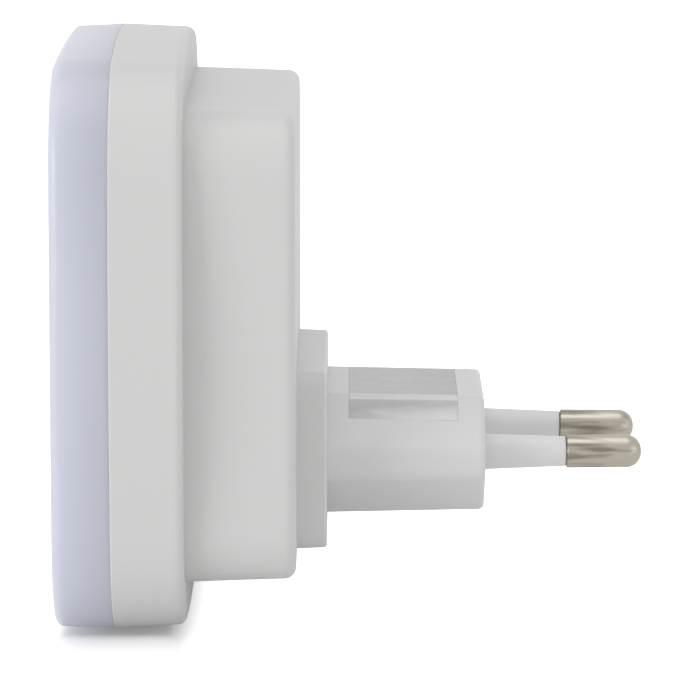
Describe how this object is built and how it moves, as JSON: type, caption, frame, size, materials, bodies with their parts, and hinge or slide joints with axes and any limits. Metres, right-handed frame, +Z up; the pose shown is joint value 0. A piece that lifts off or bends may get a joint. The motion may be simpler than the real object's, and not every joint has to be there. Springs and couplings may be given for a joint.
{
  "type": "plug-in night light",
  "caption": "Square plug-in night light with an opal diffuser on a stepped white casing and a flat plug with round pins behind it.",
  "frame": {"origin": "centre of the plug's engagement face, midway between the two pins", "axes": "+Y the way the pins point into the wall socket, -Y the way the light shines, +Z up, +X to the light's right as seen from the front"},
  "size_m": [0.0704, 0.0699, 0.0704],
  "materials": {
    "casing_plastic": "satin white moulding",
    "opal_plastic": "opal, smooth",
    "plug_plastic": "satin white moulding",
    "pin_metal": "nickel plated brass",
    "sleeve_plastic": "satin",
    "live_insulation": "brown sleeving",
    "neutral_insulation": "blue sleeving",
    "retainer_plastic": "plain",
    "screw_steel": "zinc plated",
    "label_film": "clear film, bare",
    "board_laminate": "white solder resist",
    "led_package": "yellow phosphor in a white frame",
    "reflector_film": "diffuse white",
    "shroud_rubber": "matte black",
    "photocell_ceramic": "glazed",
    "capacitor_case": "yellow case",
    "capacitor_can": "dark shrink sleeve",
    "semiconductor_case": "moulded black",
    "resistor_body": "painted"
  },
  "bodies": {
    "root": {"rear_housing": "casing_plastic", "diffuser": "opal_plastic", "plug_insert": "plug_plastic", "live_pin": "pin_metal", "neutral_pin": "pin_metal", "live_sleeve": "sleeve_plastic", "neutral_sleeve": "sleeve_plastic", "live_wire": "live_insulation", "neutral_wire": "neutral_insulation", "pin_retainer": "retainer_plastic", "retainer_screw": "screw_steel", "insert_screws": "screw_steel", "rating_label": "label_film", "light_board": "board_laminate", "leds": "led_package", "reflector_sheet": "reflector_film", "board_screws": "screw_steel", "photocell_shroud": "shroud_rubber", "photocell": "photocell_ceramic", "film_capacitor": "capacitor_case", "smoothing_capacitor": "capacitor_can", "bridge_rectifier": "semiconductor_case", "fusible_resistor": "resistor_body", "discharge_resistor": "resistor_body", "driver_chip": "semiconductor_case", "switch_transistor": "semiconductor_case"}
  },
  "joints": []
}
